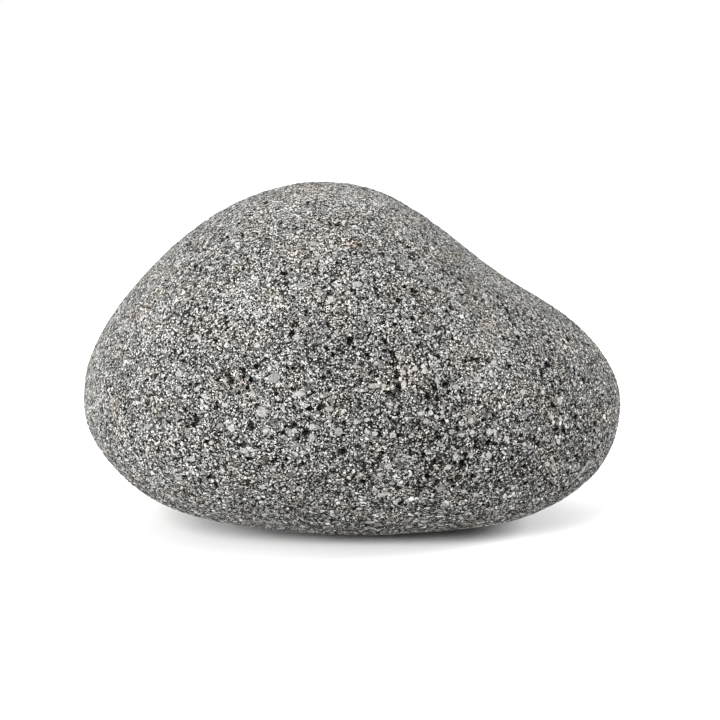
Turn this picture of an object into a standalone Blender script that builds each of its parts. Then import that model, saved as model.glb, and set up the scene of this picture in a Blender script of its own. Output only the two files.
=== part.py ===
"""A water-worn cobble of grey vesicular lava, lying on its worn underside.

Lengths are in metres and +Z is up. The origin is at the level the stone rests on, under the
middle of its bounding box. The stone's length runs along X, with the high rounded end at -X
and the low nose at +X. -Y is its front.

The surface is an icosphere whose points are moved onto a loft along X. The side outline gives
each cross-section its top and bottom, the plan outline gives its back and front, and the
section between them is a full oval with its widest level below the middle. Broad swells and
hollows then make the form irregular, and the underside is worn flat where it stands.
"""

import math

import bmesh
import bpy
import numpy as np

MM = 0.001

# Driving dimensions: the stone's bounding box.
LENGTH = 140 * MM
DEPTH = 104 * MM
HEIGHT = 89.5 * MM

# The side outline, seen along +Y: heights at stations that are evenly spaced round the outline
# in angle, so they crowd towards the two ends.
NOSE_HEIGHT = 32 * MM
TOP_HEIGHTS = [h * MM for h in (43, 54, 64, 78, 89, 88, 78, 63, 48.5)]
ROUND_END_HEIGHT = 35 * MM
UNDER_HEIGHTS = [h * MM for h in (23, 12, 4, 0.5, -1.2, -0.2, 2.5, 9, 19)]

# The plan outline, seen from above: distances behind and in front of the long axis, at the
# same kind of stations.
NOSE_SET_BACK = 2 * MM
BACK_REACH = [d * MM for d in (20, 33.5, 43, 49.5, 51.5, 49.5, 43, 32, 17.5)]
ROUND_END_SET_BACK = -1 * MM
FRONT_REACH = [d * MM for d in (20, 35, 45.5, 51, 52, 49, 41.5, 29.5, 14.5)]

# The cross-section: how far the widest level lies below the middle, as a share of the half
# height, and how much fuller than an ellipse its four shoulders are.
WIDEST_DROP = 0.17
FULLNESS = 0.02

# Broad swells (+) and hollows (-): direction from the middle, reach in degrees, and height.
SWELLS = (
    ((0.45, -0.80, 0.40), 24, 1.4 * MM),
    ((0.80, -0.55, 0.15), 20, -1.2 * MM),
    ((-0.35, -0.90, 0.10), 30, 0.9 * MM),
    ((0.05, -0.85, -0.50), 26, -1.0 * MM),
    ((-0.60, 0.70, 0.35), 28, 1.6 * MM),
    ((0.15, 0.90, 0.30), 26, -1.7 * MM),
    ((0.60, 0.70, -0.10), 26, 1.5 * MM),
    ((0.22, 0.05, 0.97), 14, 0.8 * MM),
)

# How far above and below the resting level the edge of the worn flat is eased.
WEAR_EDGE = 0.3 * MM

# The mesh: an icosphere of this many subdivisions has 5,120 triangles.
SUBDIVISIONS = 5

# The stone's finish: mid-grey, dry and rough.
LAVA_GREY = (0.25, 0.245, 0.235, 1.0)
LAVA_ROUGHNESS = 0.9


def clear_scene():
    """Remove the objects that the file opened with."""
    for old in list(bpy.data.objects):
        bpy.data.objects.remove(old, do_unlink=True)


def closed_curve(values):
    """Return the smooth closed curve, as a function of angle, through evenly spaced values."""
    count = len(values)
    waves = np.fft.rfft(values) / count

    def curve(angle):
        total = np.full_like(angle, waves[0].real)
        for order in range(1, len(waves)):
            share = 1.0 if 2 * order == count else 2.0
            total += share * (waves[order] * np.exp(1j * order * angle)).real
        return total

    return curve


side_outline = closed_curve([NOSE_HEIGHT, *TOP_HEIGHTS, ROUND_END_HEIGHT, *UNDER_HEIGHTS])
plan_outline = closed_curve(
    [NOSE_SET_BACK, *BACK_REACH, ROUND_END_SET_BACK, *(-reach for reach in FRONT_REACH)]
)


def swell_height(directions):
    """Return how far the broad swells and hollows move the surface in each direction."""
    total = np.zeros(len(directions))
    for toward, reach, height in SWELLS:
        axis = np.array(toward) / np.linalg.norm(toward)
        angle = np.degrees(np.arccos(np.clip(directions @ axis, -1.0, 1.0)))
        total += height * np.exp(-((angle / reach) ** 2))
    return total


def wear_flat(height):
    """Return heights with all that lies below the resting level worn up to it, edge eased."""
    eased = (height + WEAR_EDGE) ** 2 / (4 * WEAR_EDGE)
    worn = np.where(height > WEAR_EDGE, height, eased)
    return np.where(height < -WEAR_EDGE, 0.0, worn)


def stone_points(directions):
    """Return the surface point for each unit direction, before it is set on its origin."""
    along, back, up = directions.T
    station = np.arccos(np.clip(along, -1.0, 1.0))
    round_section = np.arctan2(up, back)

    top = side_outline(station)
    under = side_outline(2 * math.pi - station)
    rear = plan_outline(station)
    front = plan_outline(2 * math.pi - station)
    half_height = (top - under) / 2
    half_depth = (rear - front) / 2

    full = 1 + FULLNESS * np.sin(2 * round_section) ** 2
    drop = WIDEST_DROP * half_height * np.cos(round_section) ** 2
    points = np.empty_like(directions)
    points[:, 0] = LENGTH / 2 * along
    points[:, 1] = (rear + front) / 2 + half_depth * full * np.cos(round_section)
    points[:, 2] = (top + under) / 2 + half_height * full * np.sin(round_section) - drop

    outward = directions / np.array((LENGTH, DEPTH, HEIGHT))
    outward /= np.linalg.norm(outward, axis=1)[:, None]
    points += outward * swell_height(directions)[:, None]
    points[:, 2] = wear_flat(points[:, 2])
    return points


def set_on_origin(points):
    """Return the points scaled to the bounding box, with its middle over the origin."""
    low = points.min(axis=0)
    high = points.max(axis=0)
    size = np.array((LENGTH, DEPTH, HEIGHT))
    rest = np.array(((low[0] + high[0]) / 2, (low[1] + high[1]) / 2, low[2]))
    return (points - rest) * size / (high - low)


def stone_material():
    """Return the stone's material."""
    material = bpy.data.materials.new("grey_lava")
    material.use_nodes = True
    shader = material.node_tree.nodes["Principled BSDF"]
    shader.inputs["Base Color"].default_value = LAVA_GREY
    shader.inputs["Roughness"].default_value = LAVA_ROUGHNESS
    shader.inputs["Metallic"].default_value = 0.0
    material.diffuse_color = LAVA_GREY
    return material


def make_stone():
    """Make the cobble, one closed body, in a collection of its own."""
    cobble = bmesh.new()
    bmesh.ops.create_icosphere(cobble, subdivisions=SUBDIVISIONS, radius=1.0)
    directions = np.array([vert.co.normalized() for vert in cobble.verts], dtype=float)
    for vert, place in zip(cobble.verts, set_on_origin(stone_points(directions))):
        vert.co = place
    bmesh.ops.recalc_face_normals(cobble, faces=cobble.faces)

    mesh = bpy.data.meshes.new("lava_rock")
    cobble.to_mesh(mesh)
    cobble.free()
    mesh.shade_smooth()
    mesh.materials.append(stone_material())

    stone = bpy.data.objects.new("lava_rock", mesh)
    collection = bpy.data.collections.new("lava_rock")
    bpy.context.scene.collection.children.link(collection)
    collection.objects.link(stone)
    return stone


clear_scene()
make_stone()
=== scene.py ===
import math

import bmesh
import bpy
import numpy as np
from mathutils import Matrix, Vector
from mathutils.bvhtree import BVHTree
from mathutils.kdtree import KDTree


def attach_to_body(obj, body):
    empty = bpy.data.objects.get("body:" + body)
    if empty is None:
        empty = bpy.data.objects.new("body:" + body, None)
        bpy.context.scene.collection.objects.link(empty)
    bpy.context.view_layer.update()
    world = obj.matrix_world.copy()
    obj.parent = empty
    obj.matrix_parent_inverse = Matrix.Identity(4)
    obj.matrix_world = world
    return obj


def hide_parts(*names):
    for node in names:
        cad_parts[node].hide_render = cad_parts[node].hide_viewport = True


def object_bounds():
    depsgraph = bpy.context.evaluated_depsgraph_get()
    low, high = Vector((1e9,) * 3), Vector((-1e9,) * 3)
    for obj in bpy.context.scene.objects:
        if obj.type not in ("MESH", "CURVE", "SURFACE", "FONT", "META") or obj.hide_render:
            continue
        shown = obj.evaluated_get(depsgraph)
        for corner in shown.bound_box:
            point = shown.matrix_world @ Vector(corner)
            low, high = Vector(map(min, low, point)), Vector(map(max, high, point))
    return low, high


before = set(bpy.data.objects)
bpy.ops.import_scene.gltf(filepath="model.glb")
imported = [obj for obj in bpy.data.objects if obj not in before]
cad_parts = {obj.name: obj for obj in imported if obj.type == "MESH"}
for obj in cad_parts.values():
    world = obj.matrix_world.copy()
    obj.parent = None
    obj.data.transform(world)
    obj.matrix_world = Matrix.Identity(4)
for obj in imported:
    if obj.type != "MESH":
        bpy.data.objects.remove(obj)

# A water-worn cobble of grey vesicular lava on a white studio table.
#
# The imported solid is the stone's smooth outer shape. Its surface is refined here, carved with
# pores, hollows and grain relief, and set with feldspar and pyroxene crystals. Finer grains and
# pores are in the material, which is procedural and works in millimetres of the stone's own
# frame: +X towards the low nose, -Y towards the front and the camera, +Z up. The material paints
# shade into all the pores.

MM = 0.001
STONE = "lava_rock"
cad_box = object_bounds()
LOW_CORNER, HIGH_CORNER = (np.array(corner) for corner in cad_box)

# ---------- Driving sizes, in metres where they carry MM

# Camera: the photograph's view. The image is 720 pixels square.
IMAGE_SIZE = 720
SENSOR_WIDTH = 36.0
LENS = 100.0
CAMERA_ELEVATION = math.radians(8.0)
CAMERA_DISTANCE = 520.7 * MM
CAMERA_AIM = Vector((1.74 * MM, 0.0, 43.1 * MM))

# Studio: brightness of the white room and of the far soft lights round the stone.
# For each light: degrees round from the camera towards +X, degrees above level, strength.
ROOM_LIGHT = 1.0
SOFT_LIGHTS = (
    (-100.0, 12.0, 1.3),
    (-60.0, 12.0, 2.4),
    (-25.0, 28.0, 3.4),
    (100.0, 28.0, 3.6),
)
SOFT_LIGHT_SIZE = math.radians(24.0)
TABLE_WHITE = (0.82, 0.82, 0.82, 1.0)
TABLE_ROUGHNESS = 0.9
TABLE_HALF = 6.0

# Seed of everything random but the noise, which has its own seeds
SEED = 2

# Refined surface: levels it is subdivided to, and triangles it is thinned out to, with how
# strongly the thinning spares the pores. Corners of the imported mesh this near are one.
REFINE_LEVELS = 4
STONE_TRIANGLES = 198000
KEEPING = 0.1
WELD_DISTANCE = 0.001 * MM

# How much of its place in the image a chart of the stone's map fills, and a grain of its tile
CHART_FILL = 0.985
TILE_FILL = 0.33

# The groundmass lies this far below the stone's outer surface, and the grains stand up to it
GROUNDMASS_SINK = 0.17 * MM

# Relief of the groundmass: size of its features, height and seed
RELIEF = (
    (7.0 * MM, 0.10 * MM, 30),
    (2.4 * MM, 0.06 * MM, 31),
)

# Pores: how many, and their smallest, spread and largest diameter. Numbers fall off with size.
# The photograph's own pores stand out on the side it shows, so the hidden side gets some as large.
PORES = (3800, (0.60 * MM, 0.22 * MM, 2.0 * MM))
HIDDEN_PORES = (150, (1.1 * MM, 0.30 * MM, 2.4 * MM))

# A pore's most stretch, its least and greatest depth over diameter, how steep its wall is, and
# the waves round its rim with their heights. Pores are this likely where the lava isn't porous.
PORE_STRETCH = 1.7
PORE_DEPTHS = (0.45, 0.8)
PORE_WALL = 2.6
RIM_WAVES = ((2, 0.10), (3, 0.10), (5, 0.06))
RIM_REACH = 1.3
LEAST_LIKELY = 0.40

# Porosity: its mean, its change from the middle to the nose and to the crown, and its patches
MEAN_POROSITY = 0.50
TO_NOSE, NOSE_RUN = 0.16, 60 * MM
TO_CROWN, CROWN_RISE = -0.24, 45 * MM
PATCHINESS = 0.20

# Patches of porosity: size, share and seed
PATCHES = ((22 * MM, 1.0, 11), (8 * MM, 0.7, 12))

# Parts of the stone that are more porous than the rest, or less: middle, radius, change
POROUS_PARTS = (
    (Vector((12.0, -45.0, 31.0)) * MM, 17.0 * MM, 0.42),
    (Vector((46.0, -35.0, 20.0)) * MM, 15.0 * MM, 0.34),
    (Vector((44.0, -25.0, 54.0)) * MM, 12.0 * MM, 0.22),
    (Vector((-31.0, -42.0, 48.0)) * MM, 13.0 * MM, 0.20),
    (Vector((-14.0, -28.0, 68.0)) * MM, 14.0 * MM, 0.12),
    (Vector((52.0, -28.0, 32.0)) * MM, 16.0 * MM, 0.26),
    (Vector((-66.0, 0.0, 34.0)) * MM, 22.0 * MM, -0.18),
    (Vector((8.0, -34.0, 9.0)) * MM, 18.0 * MM, 0.22),
    (Vector((-28.0, -28.0, 9.0)) * MM, 18.0 * MM, -0.16),
    (Vector((-10.0, -8.0, 86.0)) * MM, 22.0 * MM, -0.24),
)

# Pores that stand out in the photograph: the pixel in the middle, length and width in
# millimetres, the length's tilt in degrees anticlockwise from level, and depth over width
DEEP, SHALLOW = 0.85, 0.35
SEEN_PORES = {
    "low_right_round": ((489, 443), 1.8, 1.5, 80, DEEP),
    "low_right_round_twin": ((495, 444), 1.4, 1.1, 20, SHALLOW),
    "low_right_wide": ((463, 464), 2.1, 1.6, -20, DEEP),
    "low_right_tall": ((466, 455), 2.0, 0.9, 95, DEEP),
    "low_right_slit": ((475, 447), 1.8, 0.8, 85, DEEP),
    "low_right_level": ((454, 487), 1.7, 1.0, 0, DEEP),
    "low_right_small": ((452, 481), 1.3, 0.9, -20, DEEP),
    "low_right_dent": ((473, 477), 1.5, 1.0, 70, DEEP),
    "low_right_edge": ((491, 472), 1.2, 1.0, 0, DEEP),
    "low_right_upper": ((458, 429), 1.4, 1.2, 60, DEEP),
    "low_right_top": ((443, 421), 1.3, 1.0, 40, DEEP),
    "low_right_side": ((484, 420), 1.5, 0.9, 10, DEEP),
    "low_right_side_round": ((494, 415), 1.2, 1.0, 70, DEEP),
    "low_middle_hollow": ((428, 477), 2.2, 1.6, -20, 0.6),
    "low_middle_broad": ((437, 484), 1.7, 1.4, 45, 0.6),
    "low_middle_round": ((425, 507), 1.8, 1.5, 0, 0.6),
    "low_middle_tall": ((424, 456), 1.7, 1.1, 100, DEEP),
    "low_middle_slant": ((435, 462), 1.5, 1.1, -45, DEEP),
    "low_middle_shallow": ((431, 469), 1.9, 1.2, 0, SHALLOW),
    "low_middle_upper_shallow": ((438, 438), 2.2, 1.3, 0, SHALLOW),
    "low_middle_upper": ((399, 436), 1.2, 1.1, 0, DEEP),
    "low_middle_level": ((380, 460), 1.8, 1.0, -10, DEEP),
    "low_middle_round_pair": ((382, 453), 1.2, 1.1, 0, DEEP),
    "low_middle_left_broad": ((343, 452), 2.4, 1.7, -20, 0.6),
    "low_middle_left_round": ((353, 478), 1.2, 1.1, 0, DEEP),
    "low_middle_left_level": ((364, 482), 1.8, 1.0, -10, DEEP),
    "low_middle_left_flat": ((346, 502), 1.7, 0.9, 0, DEEP),
    "low_middle_left_small": ((338, 496), 1.3, 0.9, 0, DEEP),
    "low_middle_foot": ((382, 503), 1.4, 0.9, 0, DEEP),
    "middle_tall": ((428, 396), 2.6, 1.4, 110, DEEP),
    "middle_slanted": ((434, 387), 2.5, 1.0, -50, DEEP),
    "middle_pit": ((446, 384), 1.6, 1.3, 0, DEEP),
    "middle_steep": ((398, 376), 1.7, 1.3, -45, DEEP),
    "middle_hollow": ((391, 394), 3.0, 1.5, -15, SHALLOW),
    "middle_hollow_beside_it": ((399, 387), 2.8, 1.7, 60, SHALLOW),
    "middle_slit": ((371, 423), 1.6, 0.8, 0, DEEP),
    "middle_low_slit": ((390, 418), 1.5, 0.7, -15, DEEP),
    "middle_low_round": ((428, 410), 1.2, 0.9, 90, DEEP),
    "middle_upper_round": ((367, 355), 1.1, 1.0, 0, DEEP),
    "middle_upper_dot": ((386, 342), 1.2, 1.0, 90, DEEP),
    "middle_upper_left_dot": ((354, 347), 1.1, 0.9, 0, DEEP),
    "middle_right_oval": ((439, 356), 1.5, 1.1, 0, DEEP),
    "middle_right_dot": ((461, 392), 1.1, 0.9, 60, DEEP),
    "right_round": ((473, 358), 1.4, 1.1, 0, DEEP),
    "right_dot": ((466, 361), 1.1, 0.9, 60, DEEP),
    "right_ring": ((478, 360), 2.0, 1.7, 0, SHALLOW),
    "right_oval": ((510, 366), 1.6, 1.1, 20, DEEP),
    "right_notch": ((525, 363), 1.3, 1.0, -40, DEEP),
    "right_hollow": ((548, 364), 2.6, 1.9, 60, SHALLOW),
    "right_nose_pit": ((577, 417), 1.4, 1.2, 0, DEEP),
    "right_nose_tall": ((579, 430), 1.7, 1.0, 90, DEEP),
    "right_nose_crack": ((586, 427), 2.6, 0.7, -45, DEEP),
    "right_nose_round": ((577, 457), 1.6, 1.3, 0, DEEP),
    "right_nose_edge": ((603, 441), 1.9, 1.4, 60, DEEP),
    "right_low_dot": ((522, 436), 1.3, 1.1, 0, DEEP),
    "right_low_hollow": ((557, 429), 2.4, 1.5, 30, SHALLOW),
    "left_crack": ((263, 360), 2.9, 0.7, 38, DEEP),
    "left_crack_foot": ((256, 366), 2.0, 1.3, 80, 0.6),
    "left_round": ((251, 380), 1.7, 1.3, 90, DEEP),
    "left_upper_dot": ((244, 356), 1.1, 1.0, 0, DEEP),
    "left_slit": ((219, 379), 1.3, 0.8, 0, DEEP),
    "left_dot": ((229, 376), 1.1, 0.9, 80, DEEP),
    "left_middle_round": ((293, 368), 1.2, 1.1, 0, DEEP),
    "left_middle_dot": ((276, 394), 1.2, 1.1, 0, DEEP),
    "left_low_pair": ((278, 402), 1.2, 0.9, -40, DEEP),
    "left_low_wide": ((310, 409), 1.8, 1.3, -20, DEEP),
    "left_low_hollow": ((321, 407), 2.4, 1.6, 50, SHALLOW),
    "left_low_round": ((306, 433), 2.0, 1.6, 45, DEEP),
    "left_low_dot": ((295, 425), 1.2, 1.1, 0, DEEP),
    "left_low_small": ((283, 433), 1.4, 1.1, 0, DEEP),
    "left_low_shade": ((251, 426), 2.6, 1.7, 90, SHALLOW),
    "left_foot_wide": ((210, 478), 1.9, 1.5, 20, DEEP),
    "left_foot_tall": ((200, 482), 1.5, 0.9, 80, DEEP),
    "left_foot_dot": ((218, 468), 1.2, 1.0, 0, DEEP),
    "left_foot_oval": ((250, 459), 1.5, 1.2, 0, DEEP),
    "left_foot_round": ((272, 462), 1.5, 1.1, 0, DEEP),
    "left_foot_slant": ((283, 466), 1.3, 1.0, -30, DEEP),
    "left_foot_low": ((298, 485), 1.3, 1.1, 0, DEEP),
    "left_foot_shade": ((241, 446), 2.0, 1.1, 0, 0.6),
    "far_left_hollow": ((195, 419), 2.4, 1.6, -40, 0.6),
    "far_left_pit": ((193, 425), 1.9, 1.3, 30, DEEP),
    "far_left_dot": ((187, 427), 1.4, 0.9, 0, DEEP),
    "far_left_tall": ((184, 410), 1.7, 0.9, -60, DEEP),
    "far_left_round": ((181, 353), 1.2, 1.1, 0, DEEP),
    "far_left_edge": ((125, 411), 1.5, 1.1, 80, DEEP),
    "far_left_upper": ((200, 319), 1.3, 0.9, 90, DEEP),
    "far_left_upper_twin": ((225, 317), 1.3, 0.9, 90, DEEP),
    "top_left_slit": ((241, 247), 2.0, 0.8, 35, DEEP),
    "top_left_round": ((247, 258), 1.1, 1.0, 0, DEEP),
    "top_left_oval": ((243, 268), 1.3, 1.0, 0, DEEP),
    "top_wide": ((315, 273), 1.9, 0.9, -20, DEEP),
    "top_wide_right": ((333, 280), 1.6, 0.9, 20, DEEP),
    "top_slit": ((298, 276), 1.4, 0.6, -15, DEEP),
    "top_tall": ((337, 262), 1.4, 0.7, 95, DEEP),
    "top_dot": ((328, 292), 1.1, 1.0, 0, DEEP),
    "top_below_oval": ((353, 290), 2.0, 0.8, 15, DEEP),
    "top_ring": ((360, 244), 1.8, 1.5, 0, SHALLOW),
    "top_right_hollow": ((382, 253), 2.1, 1.1, 10, 0.6),
    "top_right_slit": ((369, 257), 1.8, 0.6, -20, DEEP),
    "top_edge": ((367, 217), 1.1, 0.8, 0, DEEP),
    "top_right_shade": ((398, 268), 1.8, 1.5, 0, SHALLOW),
    "top_right_round": ((428, 287), 1.3, 0.9, 0, DEEP),
    "top_right_oval": ((437, 288), 1.5, 0.9, 0, 0.6),
    "upper_right_dot": ((412, 318), 1.2, 1.0, 0, DEEP),
    "upper_right_tall": ((395, 324), 1.5, 0.9, 80, DEEP),
    "upper_right_edge": ((457, 266), 1.3, 1.0, 0, DEEP),
    "upper_right_shade": ((462, 294), 1.8, 1.2, 20, SHALLOW),
    "upper_right_shade_twin": ((475, 296), 1.6, 1.1, 0, SHALLOW),
    "upper_right_round": ((447, 311), 1.5, 1.1, 0, 0.6),
    "upper_middle_round": ((333, 355), 1.2, 1.1, 0, DEEP),
}

# Colours of minerals before their tone
WHITE = (1.0, 1.0, 1.0)
WARM_BLACK = (1.02, 1.0, 0.95)

# Each noise in the materials is given by features to a millimetre, detail and roughness, and
# the range that follows it is where its effect begins and where it is whole.

# How the whole rock leans in colour from place to place, from cool to weathered, and is stained
COOL = (0.998, 1.0, 0.976, 1.0)
WEATHERED = (1.062, 1.0, 0.912, 1.0)
WEATHER_NOISE, WEATHER_RANGE = (0.15, 2.0, 0.5), (0.38, 0.74)
STAIN = (1.16, 0.97, 0.84, 1.0)
STAIN_NOISE, STAIN_RANGE = (0.11, 4.0, 0.7), (0.60, 0.74)

# Groundmass: colours that its grains lean to, and the black painted in its pits as their shade
CREAM = (1.008, 1.0, 0.985, 1.0)
GREY = (0.995, 1.0, 1.01, 1.0)
PIT_SHADE_BLACK = (0.006, 0.0057, 0.005, 1.0)

# Groundmass: cells to a millimetre for grains, small grains and pits, and the warp that bends
# their edges, by its scale and amount
GRAIN_SCALE, GRAIN_WARP = 2.0, (1.8, 0.10)
SMALL_GRAIN_SCALE, SMALL_GRAIN_WARP = 3.0, (3.4, 0.06)
PIT_SCALE, PIT_WARP = 2.1, (2.8, 0.08)

# Groundmass: its fine and broad noise, which cells hold a larger grain, and that grain's edge
FINE_NOISE, FINE_RANGE = (4.0, 2.0, 0.6), (0.28, 0.72)
BROAD_NOISE, BROAD_RANGE = (0.06, 3.0, 0.5), (0.3, 0.7)
LARGER_GRAINS = (0.45, 0.47)
LARGER_EDGE = (0.50, 0.40)

# Groundmass: its darkest grain's tone, and for solid and for porous lava how rare light grains
# are, how much lighter the lightest is, the tone of them all, the share of cells with a pit and
# the largest pit's radius. A pit's radius and its edge are in widths of a cell.
DARKEST_GRAIN = 0.004
LIGHT_RARITY = (2.2, 3.0)
LIGHTEST_RISE = (0.58, 0.61)
POROUS_TONE = (1.12, 0.80)
PIT_SHARE = (0.55, 0.88)
LARGEST_PIT = (0.42, 0.54)
SMALLEST_PIT = 0.22
PIT_EDGE = (0.05, -0.08)

# Groundmass: factors on its tone in its fine and its broad noise, and from halfway into a pore,
# where the darkening is painted shade
FINE_TONE = (0.50, 1.50)
BROAD_TONE = (0.88, 1.12)
PAINTED_PORE_SHADE = 0.12

# Relief in the materials, in millimetres: depth of pits, tilt of grains, fine and cloudy relief
PIT_DEPTH = 0.22
GRAIN_TILT = 0.40
FINE_RELIEF = 0.18
CLOUD_RELIEF = 0.10

# Roughness of the groundmass in its fine noise, how much rougher a grain's dark clouds are than
# its light ones, shine, and the clouds in single grains
LAVA_ROUGHNESS = (0.95, 0.80)
ROUGHER_CLOUD = 0.15
MOST_NOISE = (0.3, 0.7)
LAVA_SHINE = 0.06
GRAIN_SHINE = 0.15
CLOUD_NOISE, CLOUD_RANGE = (2.8, 3.0, 0.65), (0.34, 0.6)
LIGHTEST_CLOUD = 1.14

# Larger feldspar crystals: how many, shortest, spread and longest length, darkest and lightest.
# As with the pores, the hidden side gets some as large as those that the photograph shows.
CRYSTALS = (260, (1.0 * MM, 0.30 * MM, 2.2 * MM), (0.2, 0.9))
HIDDEN_CRYSTALS = (130, (1.2 * MM, 0.40 * MM, 2.8 * MM), (0.4, 1.0))
CRYSTAL_STRETCH = 1.9
CRYSTAL_TOPS = (0.08 * MM, 0.15 * MM)

# They keep this many times a pore's size away from its middle, and grains stay out of them.
PORE_CLEARANCE = 2
SOCKET_EDGE = 0.2

# Larger crystals' name, colour, darkest and lightest tone, roughness and darkest cloud
CRYSTAL_LOOK = ("feldspar_crystals", WHITE, (0.08, 0.31), 0.5, 0.40)

# Crystals that stand out in the photograph: the pixel in the middle, length and width in
# millimetres, the length's tilt in degrees anticlockwise from level, and lightness from 0 to 1
SEEN_CRYSTALS = {
    "white_twin_upper": ((331, 298), 1.5, 1.1, 20, 1.0),
    "white_twin_lower": ((328, 302), 1.5, 1.2, 40, 1.0),
    "top_oval": ((357, 284), 2.8, 1.7, 5, 0.65),
    "top_faint_oval": ((301, 285), 3.2, 1.6, 10, 0.35),
    "top_pink": ((318, 224), 1.3, 1.1, 0, 0.5),
    "top_small": ((318, 258), 1.8, 1.1, 0, 0.4),
    "top_right_small": ((377, 265), 1.2, 1.1, 0, 0.5),
    "top_right_oval": ((406, 237), 2.7, 1.3, -10, 0.5),
    "top_right_faint": ((422, 277), 2.5, 1.4, 0, 0.35),
    "upper_right_round": ((463, 307), 1.3, 1.2, 0, 0.5),
    "upper_right_bright": ((484, 294), 1.2, 1.0, 0, 0.8),
    "upper_right_small": ((465, 297), 1.2, 1.0, 0, 0.6),
    "middle_long": ((374, 386), 2.8, 1.3, 0, 0.62),
    "middle_long_neighbour": ((384, 386), 1.3, 1.1, 20, 0.7),
    "middle_tall": ((404, 385), 2.2, 1.3, 85, 0.95),
    "middle_bright": ((425, 371), 1.5, 1.3, 0, 0.95),
    "middle_bright_left": ((415, 369), 1.5, 1.2, 20, 0.8),
    "middle_slanted": ((403, 372), 1.6, 1.1, -35, 0.9),
    "middle_right_round": ((456, 387), 1.7, 1.4, 0, 0.7),
    "middle_low_bright": ((431, 413), 1.3, 1.2, 0, 0.95),
    "middle_low_oval": ((437, 417), 1.3, 1.1, -30, 0.9),
    "middle_low_small": ((391, 404), 1.3, 1.1, 0, 0.8),
    "middle_low_round": ((426, 421), 1.6, 1.3, 20, 0.6),
    "middle_low_left": ((367, 420), 1.5, 1.0, 15, 0.85),
    "middle_low_far_left": ((356, 422), 1.5, 1.3, 0, 0.75),
    "right_low_round": ((490, 432), 1.7, 1.5, 0, 0.85),
    "right_low_oval": ((489, 455), 1.6, 1.3, 0, 0.85),
    "right_low_tall": ((471, 421), 1.5, 1.2, 80, 0.85),
    "right_low_small": ((462, 424), 1.3, 1.2, 0, 0.8),
    "right_low_slanted": ((456, 457), 1.6, 1.1, 40, 0.85),
    "right_low_dull": ((471, 455), 1.3, 1.2, 0, 0.5),
    "right_low_upper": ((462, 435), 1.5, 1.1, 0, 0.7),
    "right_low_foot": ((476, 495), 1.6, 1.3, 0, 0.8),
    "right_low_foot_left": ((464, 492), 1.7, 1.1, -10, 0.7),
    "right_low_left": ((449, 467), 1.4, 1.3, 0, 0.85),
    "foot_long": ((383, 495), 3.2, 1.3, 18, 0.75),
    "foot_round": ((408, 501), 1.7, 1.3, 0, 0.8),
    "foot_upper": ((389, 467), 1.7, 1.3, 60, 0.7),
    "foot_middle": ((380, 475), 1.6, 1.2, 0, 0.75),
    "foot_small": ((375, 490), 1.4, 1.2, 0, 0.7),
    "low_middle_round": ((375, 434), 1.4, 1.2, 0, 0.85),
    "low_middle_slanted": ((367, 432), 1.4, 1.1, -20, 0.9),
    "low_middle_broad": ((393, 435), 1.7, 1.4, 0, 0.7),
    "left_upper_round": ((297, 337), 1.8, 1.5, 30, 0.75),
    "left_upper_bright": ((257, 345), 1.5, 1.4, 0, 0.85),
    "left_cluster": ((274, 378), 3.1, 2.2, 20, 0.40),
    "left_cluster_bright": ((278, 385), 1.2, 1.1, 0, 1.0),
    "left_long": ((299, 394), 2.9, 1.4, 0, 0.8),
    "left_long_small": ((302, 404), 1.2, 1.1, 0, 0.95),
    "left_big": ((262, 412), 2.7, 2.5, 0, 0.65),
    "left_oval": ((252, 394), 1.7, 1.3, 20, 0.7),
    "left_round": ((204, 396), 1.5, 1.3, 0, 0.85),
    "left_slanted": ((197, 389), 1.6, 1.1, 45, 0.7),
    "left_wide": ((225, 405), 1.8, 1.1, 10, 0.8),
    "left_low_bright": ((265, 431), 1.3, 1.2, 0, 0.95),
    "left_low_broad": ((312, 427), 1.7, 1.3, 60, 0.85),
    "left_low_oval": ((329, 409), 2.2, 1.4, 0, 0.5),
    "left_low_round": ((294, 431), 1.5, 1.3, 0, 0.8),
    "left_low_small": ((211, 443), 1.4, 1.1, 20, 0.85),
    "left_foot_cluster": ((244, 451), 2.2, 1.6, 0, 0.75),
    "left_foot_white": ((296, 455), 1.2, 1.0, 0, 1.0),
    "left_foot_wide": ((303, 453), 1.7, 1.0, 0, 0.85),
    "left_foot_round": ((262, 488), 1.6, 1.4, 0, 0.8),
    "left_foot_low": ((277, 507), 1.7, 1.1, 0, 0.7),
    "far_left_broad": ((192, 459), 2.0, 1.6, 30, 0.75),
    "far_left_slanted": ((197, 337), 1.7, 1.2, -45, 0.8),
    "far_left_bright": ((179, 388), 1.2, 1.1, 0, 0.9),
    "far_left_dull": ((156, 320), 1.5, 1.2, 0, 0.4),
    "far_left_patch": ((147, 427), 2.2, 1.6, 0, 0.45),
    "right_upper_round": ((517, 332), 1.9, 1.5, 0, 0.7),
    "right_oval": ((494, 363), 1.7, 1.4, 0, 0.7),
    "right_ring": ((478, 379), 1.6, 1.5, 0, 0.65),
    "nose_big": ((560, 401), 2.1, 1.9, 0, 0.7),
    "nose_tall": ((552, 417), 1.8, 1.3, -60, 0.65),
    "nose_bright": ((561, 419), 1.2, 1.1, 0, 0.95),
    "nose_wide": ((579, 425), 1.5, 1.1, 30, 0.8),
    "nose_upper": ((543, 392), 1.4, 1.3, 0, 0.95),
    "nose_upper_left": ((523, 392), 1.5, 1.4, 0, 0.8),
    "nose_top": ((575, 384), 1.5, 1.4, 0, 0.6),
    "nose_low_left": ((507, 439), 1.5, 1.4, 0, 0.85),
    "nose_patch_top": ((588, 464), 1.9, 1.2, 60, 0.60),
    "nose_patch_middle": ((584, 470), 2.1, 1.5, 60, 0.68),
    "nose_patch_low": ((579, 476), 2.1, 1.3, 50, 0.60),
    "nose_patch_left": ((579, 468), 1.5, 1.1, 60, 0.52),
    "nose_patch_foot": ((574, 481), 1.5, 1.0, 45, 0.50),
}

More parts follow.
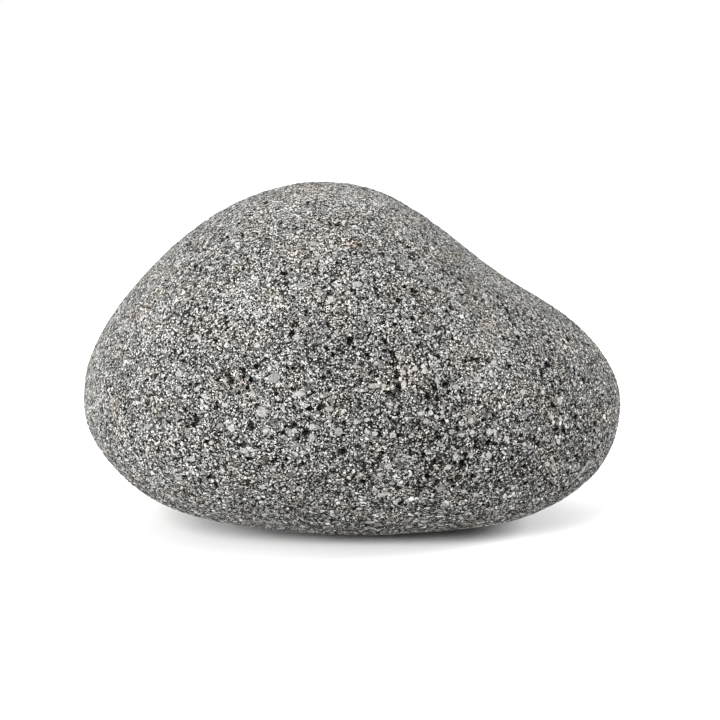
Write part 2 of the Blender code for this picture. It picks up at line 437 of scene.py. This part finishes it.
# Shapes of grains and crystals: subdivisions of the ball they start from, how uneven they are,
# and how far their worn tops tilt, as rise over length
GRAIN_SHAPE = (1, 0.22)
CRYSTAL_SHAPE = (2, 0.13)
TOP_TILT = 0.03

# How grains change with height: levels, and at each the factors on their size and paleness.
# The paleness is painted light: grains paler at the foot, where less light falls, and duller at
# the crown, where the lamps fall strongest.
LEVELS = (0.0, 34 * MM, 60 * MM, 90 * MM)
SIZE_AT_LEVELS = (1.25, 1.0, 1.0, 1.0)
PAINTED_LIGHT_AT_LEVELS = (2.3, 1.0, 1.0, 0.65)

# Minerals whose grains are set in the surface. Lengths fall off from the shortest at the spread.
#   name, count, shortest, spread and longest length, most stretch, lowest and highest top,
#   colour, darkest and lightest tone, roughness, darkest cloud
MINERALS = (
    ("white_feldspar_grains", 8300, (0.44 * MM, 0.19 * MM, 1.4 * MM), 1.8,
     (0.06 * MM, 0.16 * MM), WHITE, (0.27, 0.42), 0.5, 0.68),
    ("pale_feldspar_grains", 9800, (0.46 * MM, 0.19 * MM, 1.5 * MM), 1.8,
     (0.05 * MM, 0.15 * MM), WHITE, (0.14, 0.27), 0.6, 0.68),
    ("grey_feldspar_grains", 9500, (0.50 * MM, 0.22 * MM, 1.7 * MM), 1.7,
     (0.05 * MM, 0.14 * MM), WHITE, (0.045, 0.13), 0.7, 0.68),
    ("pyroxene_grains", 9800, (0.39 * MM, 0.18 * MM, 1.3 * MM), 2.2,
     (0.06 * MM, 0.16 * MM), WARM_BLACK, (0.003, 0.011), 0.45, 0.68),
)


# ---------- Objects, the camera and places seen by it

def linked_object(name, data):
    """Return a new object of a mesh, camera or light, in the scene."""
    thing = bpy.data.objects.new(name, data)
    bpy.context.scene.collection.objects.link(thing)
    return thing


def make_camera():
    """Create the scene's camera at the photograph's viewing angle."""
    data = bpy.data.cameras.new("camera")
    data.sensor_width = SENSOR_WIDTH
    data.lens = LENS
    camera = linked_object("camera", data)
    away = Vector((0.0, -math.cos(CAMERA_ELEVATION), math.sin(CAMERA_ELEVATION)))
    camera.location = CAMERA_AIM + away * CAMERA_DISTANCE
    camera.rotation_euler = (-away).to_track_quat("-Z", "Y").to_euler()
    bpy.context.scene.camera = camera
    bpy.context.view_layer.update()
    return camera


def pixel_ray(camera, pixel):
    """Return the start and direction of the camera's ray through a pixel of the photograph."""
    half = IMAGE_SIZE / 2
    reach = LENS / SENSOR_WIDTH * IMAGE_SIZE
    local = Vector((pixel[0] - half, half - pixel[1], -reach))
    direction = camera.matrix_world.to_3x3() @ local
    return camera.location, direction.normalized()


# ---------- Noise

NOISE_CELLS = 64


def smooth_noise(points, size, seed):
    """Return noise from -1 to 1 at each point, with features about one size across."""
    table = np.random.default_rng(seed).uniform(-1.0, 1.0, (NOISE_CELLS,) * 3)
    grid = points / size
    cell = np.floor(grid).astype(int)
    along = grid - cell
    along = along * along * (3 - 2 * along)
    total = np.zeros(len(points))
    for corner in np.ndindex(2, 2, 2):
        share = np.where(np.array(corner) == 1, along, 1 - along).prod(axis=1)
        x, y, z = ((cell + corner) % NOISE_CELLS).T
        total += share * table[x, y, z]
    return total


# ---------- Meshes

def vertex_array(mesh, attribute="co"):
    """Return a mesh's vertex places, or its vertex normals, as an array."""
    items = mesh.vertices if attribute == "co" else mesh.vertex_normals
    values = np.empty(len(items) * 3, np.float32)
    items.foreach_get("co" if attribute == "co" else "vector", values)
    return values.reshape(-1, 3).astype(float)


def finished_mesh(holder):
    """Return a new mesh of an object with its modifiers applied, and remove the object."""
    graph = bpy.context.evaluated_depsgraph_get()
    mesh = bpy.data.meshes.new_from_object(holder.evaluated_get(graph))
    bpy.data.objects.remove(holder)
    return mesh


def refined_stone(node):
    """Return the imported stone's mesh, welded and subdivided to a fine, even surface."""
    welded = bmesh.new()
    welded.from_mesh(node.data)
    bmesh.ops.remove_doubles(welded, verts=welded.verts, dist=WELD_DISTANCE)
    cage = bpy.data.meshes.new("stone_cage")
    welded.to_mesh(cage)
    welded.free()
    holder = linked_object("stone_cage", cage)
    subdivision = holder.modifiers.new("refine", "SUBSURF")
    subdivision.levels = REFINE_LEVELS
    subdivision.render_levels = REFINE_LEVELS
    return finished_mesh(holder)


def kd_tree(points):
    """Return a tree that finds the points near a place."""
    tree = KDTree(len(points))
    for index, point in enumerate(points.tolist()):
        tree.insert(point, index)
    tree.balance()
    return tree


def vertex_areas(mesh):
    """Return each vertex's share of the surface's area."""
    corners = np.empty(len(mesh.loops), np.int32)
    mesh.loops.foreach_get("vertex_index", corners)
    areas = np.empty(len(mesh.polygons), np.float32)
    mesh.polygons.foreach_get("area", areas)
    sides = np.empty(len(mesh.polygons), np.int32)
    mesh.polygons.foreach_get("loop_total", sides)
    return np.bincount(corners, np.repeat(areas / sides, sides), len(mesh.vertices))


def random_picks(rng, weights, count):
    """Return the numbers of vertices picked at random, each as likely as its weight."""
    return rng.choice(len(weights), count, replace=False, p=weights / weights.sum())


# ---------- Spots on the stone

class Spot:
    """A place on the surface with two directions in the surface and the surface's normal."""

    def __init__(self, place, along, normal):
        self.place = np.array(place)
        self.normal = np.array(normal)
        along = np.array(along)
        along = along - along @ self.normal * self.normal
        self.along = along / np.linalg.norm(along)
        self.across = np.cross(self.normal, self.along)


def random_spot(rng, place, normal):
    """Return a spot whose length lies any way in the surface."""
    return Spot(place, rng.normal(size=3), normal)


def seen_spot(camera, hull, pixel, tilt):
    """Return the spot that the camera sees at a pixel, its length tilted as in the photograph."""
    start, direction = pixel_ray(camera, pixel)
    place, normal, _, _ = hull.ray_cast(start, direction)
    turn = math.radians(tilt)
    level = camera.matrix_world.to_3x3() @ Vector((math.cos(turn), math.sin(turn), 0.0))
    along = level - level.dot(normal) / direction.dot(normal) * direction
    return Spot(place, along, normal)


def hidden_share(camera, points, normals):
    """Return how far each point of the surface is turned away from the camera, from 0 to 1.

    It goes from 0 to 1 across the outline, where the surface is seen edge on.
    """
    toward = np.array(camera.location) - points
    toward /= np.linalg.norm(toward, axis=1, keepdims=True)
    return np.clip(0.5 - 2 * (normals * toward).sum(axis=1), 0, 1)


# ---------- Pores

class Pore:
    """A hole left by a gas bubble: an uneven oval bowl with a steep wall."""

    def __init__(self, rng, spot, length, width, depth):
        self.spot = spot
        self.length = length / 2
        self.width = width / 2
        self.depth = depth
        self.phases = rng.uniform(0, 2 * math.pi, len(RIM_WAVES))

    def shape(self, points):
        """Return how deep each point lies in the pore, from 0 at its rim to 1 in the middle."""
        offset = points - self.spot.place
        x = offset @ self.spot.along / self.length
        y = offset @ self.spot.across / self.width
        angle = np.arctan2(y, x)
        rim = np.ones(len(points))
        for (waves, height), phase in zip(RIM_WAVES, self.phases):
            rim += height * np.cos(waves * angle + phase)
        out = np.hypot(x, y) / rim
        return np.clip(1 - out**PORE_WALL, 0, 1)


def carve_depths(points, tree, pores):
    """Return for each point how deep the pores lower it, and how far inside one it is."""
    depths = np.zeros(len(points))
    inside = np.zeros(len(points))
    for pore in pores:
        reach = RIM_REACH * math.hypot(pore.length, pore.depth)
        near = [found[1] for found in tree.find_range(pore.spot.place, reach)]
        if not near:
            continue
        near = np.array(near)
        shape = pore.shape(points[near])
        depths[near] = np.maximum(depths[near], pore.depth * shape)
        inside[near] = np.maximum(inside[near], shape)
    return depths, inside


def porosity(points):
    """Return how porous the lava is at each point, from 0 to 1."""
    rise = (points[:, 2] - CROWN_RISE) / CROWN_RISE
    run = points[:, 0] / NOSE_RUN
    patches = sum(share * smooth_noise(points, size, seed) for size, share, seed in PATCHES)
    amount = MEAN_POROSITY + TO_NOSE * run + TO_CROWN * rise + PATCHINESS * patches
    for middle, radius, change in POROUS_PARTS:
        far = np.linalg.norm(points - np.array(middle), axis=1) / radius
        amount += change * np.exp(-far**2)
    return np.clip(amount, 0, 1)


def make_pores(rng, camera, hull, points, normals, areas):
    """Return the pores: those seen in the photograph, and random ones that crowd in porous parts."""
    pores = []
    for pixel, length, width, tilt, steepness in SEEN_PORES.values():
        spot = seen_spot(camera, hull, pixel, tilt)
        pores.append(Pore(rng, spot, length * MM, width * MM, steepness * width * MM))
    weights = areas * (LEAST_LIKELY + porosity(points))
    hidden = weights * hidden_share(camera, points, normals)
    for (count, sizes), likely in ((PORES, weights), (HIDDEN_PORES, hidden)):
        smallest, spread, largest = sizes
        for pick in random_picks(rng, likely, count):
            diameter = min(smallest + rng.exponential(spread), largest)
            stretch = math.sqrt(rng.uniform(1.0, PORE_STRETCH))
            spot = random_spot(rng, points[pick], normals[pick])
            depth = diameter * rng.uniform(*PORE_DEPTHS)
            pores.append(Pore(rng, spot, diameter * stretch, diameter / stretch, depth))
    return pores


# ---------- The stone's surface

def simplified(mesh, triangles, kept):
    """Return the mesh thinned out to a number of triangles, least of all at the kept vertices."""
    holder = linked_object("thinning", mesh)
    group = holder.vertex_groups.new(name="kept")
    group.add(kept.tolist(), 1.0, "REPLACE")
    faces = sum(len(face.vertices) - 2 for face in mesh.polygons)
    thin = holder.modifiers.new("thin", "DECIMATE")
    thin.ratio = triangles / faces
    thin.vertex_group = group.name
    thin.invert_vertex_group = True
    thin.vertex_group_factor = KEEPING
    return finished_mesh(holder)


def atlas_map(mesh):
    """Give the mesh a map of six charts, one for each side of the stone, that fill the image.

    A chart holds the angles at which its side's points are seen from the stone's middle, so its
    scale is even.
    """
    middle, half = (LOW_CORNER + HIGH_CORNER) / 2, (HIGH_CORNER - LOW_CORNER) / 2
    points = (vertex_array(mesh) - middle) / half
    corners = np.empty(len(mesh.loops), np.int32)
    mesh.loops.foreach_get("vertex_index", corners)
    centre = points[corners].reshape(-1, 3, 3).mean(axis=1)
    axis = np.abs(centre).argmax(axis=1)
    sign = centre[np.arange(len(axis)), axis] > 0
    chart_axis, chart_sign = np.repeat(axis, 3), np.repeat(sign, 3)
    place = points[corners]
    rows = np.arange(len(place))
    depth = np.abs(place[rows, chart_axis])
    # The longer side of each chart runs up the image: X, or Y on the two end charts.
    longer = np.where(chart_axis == 0, 1, 0)
    shorter = np.where(chart_axis == 2, 1, 2)
    # The edge between two sides is seen at an eighth of a turn, and lies at 1.
    up = 4 / math.pi * np.arctan(place[rows, longer] / depth)
    across = 4 / math.pi * np.arctan(place[rows, shorter] / depth)
    u = (chart_axis + 0.5 + 0.5 * CHART_FILL * across) / 3
    v = (chart_sign + 0.5 + 0.5 * CHART_FILL * up) / 2
    layer = mesh.uv_layers.new(name="OFBake")
    layer.uv.foreach_set("vector", np.stack([u, v], 1).astype(np.float32).ravel())


def triangulate(mesh):
    """Cut a mesh's faces into triangles."""
    cut = bmesh.new()
    cut.from_mesh(mesh)
    bmesh.ops.triangulate(cut, faces=cut.faces)
    cut.to_mesh(mesh)
    cut.free()


def add_value(mesh, name, values):
    """Give a mesh a number at each vertex, which its material reads by name."""
    layer = mesh.attributes.new(name, "FLOAT", "POINT")
    layer.data.foreach_set("value", values.astype(np.float32))


def make_stone(node, rng, camera):
    """Return the stone's finished surface, the places grains can take on it, and the crystals."""
    fine = refined_stone(node)
    points = vertex_array(fine)
    normals = vertex_array(fine, "normal")
    areas = vertex_areas(fine)
    hull = BVHTree.FromPolygons(
        [vert.co for vert in node.data.vertices],
        [face.vertices for face in node.data.polygons],
    )
    pores = make_pores(rng, camera, hull, points, normals, areas)
    tree = kd_tree(points)
    depths, inside = carve_depths(points, tree, pores)
    grown = 2 * PORE_CLEARANCE
    clear = [
        Pore(rng, pore.spot, grown * pore.length, grown * pore.width, 0.0) for pore in pores
    ]
    _, near_pore = carve_depths(points, tree, clear)
    crystals = make_crystals(rng, camera, hull, points, normals, areas * (near_pore == 0))
    sockets = [
        Pore(rng, crystal.spot, crystal.length, crystal.width, 0.0) for crystal in crystals
    ]
    _, taken = carve_depths(points, tree, sockets)
    height = -GROUNDMASS_SINK - depths
    for size, amount, seed in RELIEF:
        height += amount * smooth_noise(points, size, seed)
    carved = np.clip(points + normals * height[:, None], LOW_CORNER, HIGH_CORNER)
    fine.vertices.foreach_set("co", carved.astype(np.float32).ravel())
    fine.update()

    mesh = simplified(fine, STONE_TRIANGLES, np.flatnonzero(inside > 0))
    triangulate(mesh)
    final = np.clip(vertex_array(mesh), LOW_CORNER, HIGH_CORNER)
    mesh.vertices.foreach_set("co", final.astype(np.float32).ravel())
    _, cavity = carve_depths(final, kd_tree(final), pores)
    add_value(mesh, "cavity", cavity)
    add_value(mesh, "porosity", porosity(final))
    mesh.shade_smooth()
    atlas_map(mesh)
    mesh.name = "vesicular_lava"
    stone = linked_object("vesicular_lava", mesh)
    free = np.flatnonzero((inside == 0) & (taken < SOCKET_EDGE))
    return stone, (carved[free], normals[free], areas[free]), crystals


# ---------- Grains

def grain_template(subdivisions):
    """Return the corners and faces of a unit ball of triangles."""
    ball = bmesh.new()
    bmesh.ops.create_icosphere(ball, subdivisions=subdivisions, radius=1.0)
    points = np.array([vert.co for vert in ball.verts])
    faces = np.array([[vert.index for vert in face.verts] for face in ball.faces])
    ball.free()
    return points, faces


def random_frames(rng, normals):
    """Return for each grain two directions in the surface and the surface's normal."""
    along = rng.normal(size=normals.shape)
    along -= (along * normals).sum(axis=1, keepdims=True) * normals
    along /= np.linalg.norm(along, axis=1, keepdims=True)
    return np.stack([along, np.cross(normals, along), normals], axis=1)


def grain_map(mesh, across, polygons):
    """Give each grain its own tile of the map, with its points where they lie across its ball."""
    columns = math.ceil(math.sqrt(len(across)))
    number = np.arange(len(across))
    tile = np.stack([number % columns, number // columns], axis=1)[:, None, :]
    spots = (tile + 0.5 + TILE_FILL * across) / columns
    layer = mesh.uv_layers.new(name="OFBake")
    chosen = spots.reshape(-1, 2)[polygons.ravel()].astype(np.float32)
    layer.uv.foreach_set("vector", chosen.ravel())


def make_grains(name, rng, sites, frames, lengths, widths, tops, shades, grain_shape):
    """Return one object of many grains: uneven, with tops worn off at a height above the sites."""
    subdivisions, unevenness = grain_shape
    template, faces = grain_template(subdivisions)
    count, corners = len(sites), len(template)
    shape = template + rng.uniform(-unevenness, unevenness, (count, corners, 3))
    across = shape[:, :, :2].copy()
    shape *= np.stack([lengths, widths, widths], axis=1)[:, None, :] / 2
    shape[:, :, 2] = np.minimum(shape[:, :, 2], tops[:, None] + TOP_TILT * shape[:, :, 0])
    places = sites[:, None, :] + shape @ frames
    places = np.clip(places, LOW_CORNER, HIGH_CORNER).reshape(-1, 3)
    polygons = (faces[None] + np.arange(count)[:, None, None] * corners).reshape(-1, 3)

    mesh = bpy.data.meshes.new(name)
    mesh.from_pydata(places.tolist(), [], polygons.tolist())
    add_value(mesh, "shade", np.repeat(shades, corners))
    grain_map(mesh, across, polygons)
    return linked_object(name, mesh)


def mineral_grains(rng, sites, name, count, sizes, stretch, tops):
    """Return one mineral's grains as an object: coarser and, as painted light, paler at the foot."""
    shortest, spread, longest = sizes
    places, normals, areas = sites
    picks = random_picks(rng, areas, count)
    level = places[picks, 2]
    lengths = np.minimum(shortest + rng.exponential(spread, count), longest)
    lengths *= np.interp(level, LEVELS, SIZE_AT_LEVELS)
    widths = lengths / rng.uniform(1.0, stretch, count)
    frames = random_frames(rng, normals[picks])
    heights = rng.uniform(*tops, count)
    # Painted light: shades paler at the foot and duller at the crown
    shades = rng.uniform(0, 1, count) * np.interp(level, LEVELS, PAINTED_LIGHT_AT_LEVELS)
    return make_grains(
        name, rng, places[picks], frames, lengths, widths, heights, shades, GRAIN_SHAPE
    )


# ---------- Larger crystals

class Crystal:
    """A larger crystal: its spot on the surface, its length and width, and its lightness."""

    def __init__(self, spot, length, width, lightness):
        self.spot = spot
        self.length = length
        self.width = width
        self.lightness = lightness


def make_crystals(rng, camera, hull, points, normals, weights):
    """Return the larger crystals: those seen in the photograph, and random ones between them."""
    crystals = []
    for pixel, length, width, tilt, lightness in SEEN_CRYSTALS.values():
        spot = seen_spot(camera, hull, pixel, tilt)
        crystals.append(Crystal(spot, length * MM, width * MM, lightness))
    hidden = weights * hidden_share(camera, points, normals)
    for (count, sizes, shades), likely in ((CRYSTALS, weights), (HIDDEN_CRYSTALS, hidden)):
        shortest, spread, longest = sizes
        for pick in random_picks(rng, likely, count):
            length = min(shortest + rng.exponential(spread), longest)
            width = length / rng.uniform(1.0, CRYSTAL_STRETCH)
            spot = random_spot(rng, points[pick], normals[pick])
            crystals.append(Crystal(spot, length, width, rng.uniform(*shades)))
    return crystals


def crystal_piece(rng, crystals):
    """Return the larger crystals as one object."""
    spots = [crystal.spot for crystal in crystals]
    sites = np.array([spot.place - GROUNDMASS_SINK * spot.normal for spot in spots])
    return make_grains(
        "feldspar_crystals", rng, sites,
        np.array([(spot.along, spot.across, spot.normal) for spot in spots]),
        np.array([crystal.length for crystal in crystals]),
        np.array([crystal.width for crystal in crystals]),
        rng.uniform(*CRYSTAL_TOPS, len(crystals)),
        np.array([crystal.lightness for crystal in crystals]),
        CRYSTAL_SHAPE,
    )


# ---------- Materials

# The middle of a random colour, which takes values from 0 to 1
MIDDLE = (0.5, 0.5, 0.5)


class Shader:
    """A material and short ways to add nodes to it. Sockets and plain numbers both do as inputs."""

    def __init__(self, name, shine=0.5):
        self.material = bpy.data.materials.new(name)
        self.material.use_nodes = True
        self.tree = self.material.node_tree
        self.surface = self.tree.nodes["Principled BSDF"]
        self.surface.inputs["Specular IOR Level"].default_value = shine

    def value_of(self, name):
        """Return a number that the mesh holds at each vertex."""
        return self.add("ShaderNodeAttribute", attribute_name=name).outputs["Fac"]

    def add(self, kind, inputs=None, **settings):
        """Return a new node of a kind, with its inputs and its settings."""
        node = self.tree.nodes.new(kind)
        for key, value in settings.items():
            setattr(node, key, value)
        for key, value in (inputs or {}).items():
            self.put(value, node.inputs[key])
        return node

    def put(self, value, socket):
        """Link a socket's value to an input, or set a plain value on it."""
        if isinstance(value, bpy.types.NodeSocket):
            self.tree.links.new(value, socket)
        else:
            socket.default_value = value

    def math(self, operation, a, b):
        """Return the result of an operation on two numbers."""
        return self.add("ShaderNodeMath", {0: a, 1: b}, operation=operation).outputs[0]

    def vector(self, operation, a, b):
        """Return the node of an operation on two vectors or colours."""
        return self.add("ShaderNodeVectorMath", {0: a, 1: b}, operation=operation)

    def ramp(self, value, start, end, low=0.0, high=1.0):
        """Return value mapped smoothly from start..end to low..high."""
        node = self.add(
            "ShaderNodeMapRange",
            {"Value": value, "From Min": start, "From Max": end, "To Min": low, "To Max": high},
            interpolation_type="SMOOTHSTEP",
        )
        return node.outputs["Result"]

    def mix(self, factor, a, b):
        """Return a colour that goes from a to b as the factor goes from 0 to 1."""
        node = self.add("ShaderNodeMix", data_type="RGBA")
        self.put(factor, node.inputs["Factor"])
        self.put(a, node.inputs[6])
        self.put(b, node.inputs[7])
        return node.outputs[2]

    def blend(self, factor, a, b):
        """Return a number that goes from a to b as the factor goes from 0 to 1."""
        node = self.add("ShaderNodeMix", data_type="FLOAT")
        self.put(factor, node.inputs[0])
        self.put(a, node.inputs[2])
        self.put(b, node.inputs[3])
        return node.outputs[0]

    def grain_tone(self, kind, rise, rarity):
        """Return a grain's lightness from its random number: most grains dark, a few light."""
        lighter = self.math("MULTIPLY", self.math("POWER", kind, rarity), rise)
        return self.math("ADD", lighter, DARKEST_GRAIN)

    def scaled(self, vector, gain):
        """Return a vector or a colour multiplied by a number."""
        node = self.add(
            "ShaderNodeVectorMath", {0: vector, "Scale": gain}, operation="SCALE"
        )
        return node.outputs[0]

    def noise(self, place, scale, detail, roughness):
        """Return smooth noise from 0 to 1."""
        node = self.add(
            "ShaderNodeTexNoise",
            {"Vector": place, "Scale": scale, "Detail": detail, "Roughness": roughness},
        )
        return node.outputs["Fac"]

    def cells(self, place, scale):
        """Return the node of a pattern of cells, so many to a millimetre."""
        return self.add("ShaderNodeTexVoronoi", {"Vector": place, "Scale": scale})

    def millimetres(self):
        """Return the place in the stone's own frame, in millimetres."""
        place = self.add("ShaderNodeTexCoord").outputs["Object"]
        return self.scaled(place, 1 / MM)

    def warped(self, place, scale, amount):
        """Return the place shifted by up to about an amount, so that cells' edges bend."""
        noise = self.add(
            "ShaderNodeTexNoise", {"Vector": place, "Scale": scale, "Detail": 1.0}
        ).outputs["Color"]
        centred = self.vector("SUBTRACT", noise, MIDDLE)
        shift = self.scaled(centred.outputs[0], 2 * amount)
        return self.vector("ADD", place, shift).outputs[0]

    def random_parts(self, cells):
        """Return two numbers from 0 to 1, at random for each cell."""
        parts = self.add("ShaderNodeSeparateColor", {"Color": cells.outputs["Color"]})
        return parts.outputs[0], parts.outputs[1]

    def facet(self, place, cells):
        """Return a height that tilts each cell its own way, rising one for one at most."""
        offset = self.vector("SUBTRACT", place, cells.outputs["Position"])
        lean = self.vector("SUBTRACT", cells.outputs["Color"], MIDDLE)
        product = self.vector("DOT_PRODUCT", offset.outputs[0], lean.outputs[0])
        return self.math("MULTIPLY", product.outputs["Value"], 2.0)

    def leaning(self, place, colour):
        """Return the colour leaning cool or weathered from place to place, stained in a few."""
        weathered = self.ramp(self.noise(place, *WEATHER_NOISE), *WEATHER_RANGE)
        stained = self.ramp(self.noise(place, *STAIN_NOISE), *STAIN_RANGE)
        lean = self.mix(stained, self.mix(weathered, COOL, WEATHERED), STAIN)
        return self.vector("MULTIPLY", colour, lean).outputs[0]

    def bump(self, height):
        """Use a height in millimetres as the surface's relief."""
        node = self.add("ShaderNodeBump", {"Strength": 1.0, "Distance": MM, "Height": height})
        self.put(node.outputs["Normal"], self.surface.inputs["Normal"])


def lava_material():
    """Return the lava's material: fine light and dark grains, and pores darkened as painted shade.
    """
    shader = Shader("grey_lava", LAVA_SHINE)
    place = shader.millimetres()
    fine = shader.noise(place, *FINE_NOISE)
    broad = shader.noise(place, *BROAD_NOISE)
    porous = shader.value_of("porosity")

    # Grains of two sizes. Each cell's random numbers decide what it is.
    bent = shader.warped(place, *GRAIN_WARP)
    grains = shader.cells(bent, GRAIN_SCALE)
    kind, choice = shader.random_parts(grains)
    small_bent = shader.warped(place, *SMALL_GRAIN_WARP)
    small = shader.cells(small_bent, SMALL_GRAIN_SCALE)
    small_kind, hue = shader.random_parts(small)

    # Groundmass of small grains with larger grains among them
    within = shader.ramp(grains.outputs["Distance"], *LARGER_EDGE)
    larger = shader.math("MULTIPLY", shader.ramp(choice, *LARGER_GRAINS), within)
    rarity = shader.ramp(porous, 0.1, 0.9, *LIGHT_RARITY)
    rise = shader.ramp(porous, 0.1, 0.9, *LIGHTEST_RISE)
    tone = shader.blend(
        larger,
        shader.grain_tone(small_kind, rise, rarity),
        shader.grain_tone(kind, rise, rarity),
    )
    tone = shader.math("MULTIPLY", tone, shader.ramp(fine, *FINE_RANGE, *FINE_TONE))
    tone = shader.math("MULTIPLY", tone, shader.ramp(broad, *BROAD_RANGE, *BROAD_TONE))
    tone = shader.math("MULTIPLY", tone, shader.ramp(porous, 0.0, 1.0, *POROUS_TONE))
    colour = shader.leaning(place, shader.scaled(shader.mix(hue, CREAM, GREY), tone))

    # Small pores, more and larger where the lava is porous. A cell has one if its random number
    # is below the share. Each is sunk as relief and painted black as its shade.
    pits = shader.cells(shader.warped(place, *PIT_WARP), PIT_SCALE)
    pit_kind, pit_size = shader.random_parts(pits)
    share = shader.ramp(porous, 0.0, 1.0, *PIT_SHARE)
    largest = shader.ramp(porous, 0.0, 1.0, *LARGEST_PIT)
    radius = shader.ramp(pit_size, 0.0, 1.0, SMALLEST_PIT, largest)
    beyond = shader.math("SUBTRACT", pits.outputs["Distance"], radius)
    chosen = shader.ramp(shader.math("SUBTRACT", pit_kind, share), 0.01, -0.01)
    holes = shader.math("MULTIPLY", chosen, shader.ramp(beyond, *PIT_EDGE))
    colour = shader.mix(holes, colour, PIT_SHADE_BLACK)
    # Painted shade: the colour darkens from a carved pore's rim and is darkest from halfway in
    pore_shade = shader.ramp(shader.value_of("cavity"), 0.0, 0.5, 1.0, PAINTED_PORE_SHADE)
    shader.put(shader.scaled(colour, pore_shade), shader.surface.inputs["Base Color"])
    roughness = shader.ramp(fine, *MOST_NOISE, *LAVA_ROUGHNESS)
    shader.put(roughness, shader.surface.inputs["Roughness"])

    # Relief
    height = shader.math("MULTIPLY", holes, -PIT_DEPTH)
    facets = shader.math("MULTIPLY", shader.facet(bent, grains), GRAIN_TILT)
    small_facets = shader.math("MULTIPLY", shader.facet(small_bent, small), GRAIN_TILT)
    facets = shader.math("ADD", facets, small_facets)
    height = shader.math("ADD", height, facets)
    shader.bump(shader.math("ADD", height, shader.math("MULTIPLY", fine, FINE_RELIEF)))
    return shader.material


def grain_material(name, colour, tones, roughness, darkest_cloud):
    """Return a mineral's material: each grain has its own shade, clouded inside.

    Shades 0 and 1 give the two tones, and paler grains go on beyond the lightest.
    """
    darkest, lightest = tones
    shader = Shader(name, GRAIN_SHINE)
    place = shader.millimetres()
    clouds = shader.noise(place, *CLOUD_NOISE)
    rise = shader.math("MULTIPLY", shader.value_of("shade"), lightest - darkest)
    tone = shader.math("ADD", rise, darkest)
    clouded = shader.ramp(clouds, *CLOUD_RANGE, darkest_cloud, LIGHTEST_CLOUD)
    tone = shader.math("MULTIPLY", tone, clouded)
    colour = shader.leaning(place, shader.scaled(colour, tone))
    shader.put(colour, shader.surface.inputs["Base Color"])
    rough = shader.ramp(clouds, *MOST_NOISE, roughness + ROUGHER_CLOUD, roughness)
    shader.put(rough, shader.surface.inputs["Roughness"])
    shader.bump(shader.math("MULTIPLY", clouds, CLOUD_RELIEF))
    return shader.material


# ---------- Studio

def make_floor():
    """Create the white table the stone stands on."""
    mesh = bpy.data.meshes.new("floor")
    signs = ((-1, -1), (1, -1), (1, 1), (-1, 1))
    corners = [(TABLE_HALF * x, TABLE_HALF * y, 0) for x, y in signs]
    mesh.from_pydata(corners, [], [(0, 1, 2, 3)])
    floor = linked_object("floor", mesh)
    shader = Shader("white_table")
    shader.surface.inputs["Base Color"].default_value = TABLE_WHITE
    shader.surface.inputs["Roughness"].default_value = TABLE_ROUGHNESS
    mesh.materials.append(shader.material)


def make_studio():
    """Light the stone with a white room and large soft lights in front and at both sides."""
    world = bpy.data.worlds.new("studio")
    world.use_nodes = True
    background = world.node_tree.nodes["Background"]
    background.inputs["Color"].default_value = (1.0, 1.0, 1.0, 1.0)
    background.inputs["Strength"].default_value = ROOM_LIGHT
    bpy.context.scene.world = world

    for degrees_round, degrees_up, strength in SOFT_LIGHTS:
        turn, rise = math.radians(degrees_round), math.radians(degrees_up)
        soft = bpy.data.lights.new("soft_light", "SUN")
        soft.energy = strength
        soft.angle = SOFT_LIGHT_SIZE
        level = math.cos(rise)
        away = Vector((math.sin(turn) * level, -math.cos(turn) * level, math.sin(rise)))
        light = linked_object("soft_light", soft)
        light.rotation_euler = (-away).to_track_quat("-Z", "Y").to_euler()
    bpy.context.scene.view_settings.view_transform = "Standard"
    make_floor()


# ---------- Build

def attach(piece, material):
    """Give a piece its material and fix it to the stone."""
    piece.data.materials.append(material)
    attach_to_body(piece, "root")


camera = make_camera()
rng = np.random.default_rng(SEED)
stone, sites, crystals = make_stone(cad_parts[STONE], rng, camera)
attach(stone, lava_material())
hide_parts(STONE)
attach(crystal_piece(rng, crystals), grain_material(*CRYSTAL_LOOK))
for name, count, sizes, stretch, tops, *look in MINERALS:
    grains = mineral_grains(rng, sites, name, count, sizes, stretch, tops)
    attach(grains, grain_material(name, *look))
make_studio()
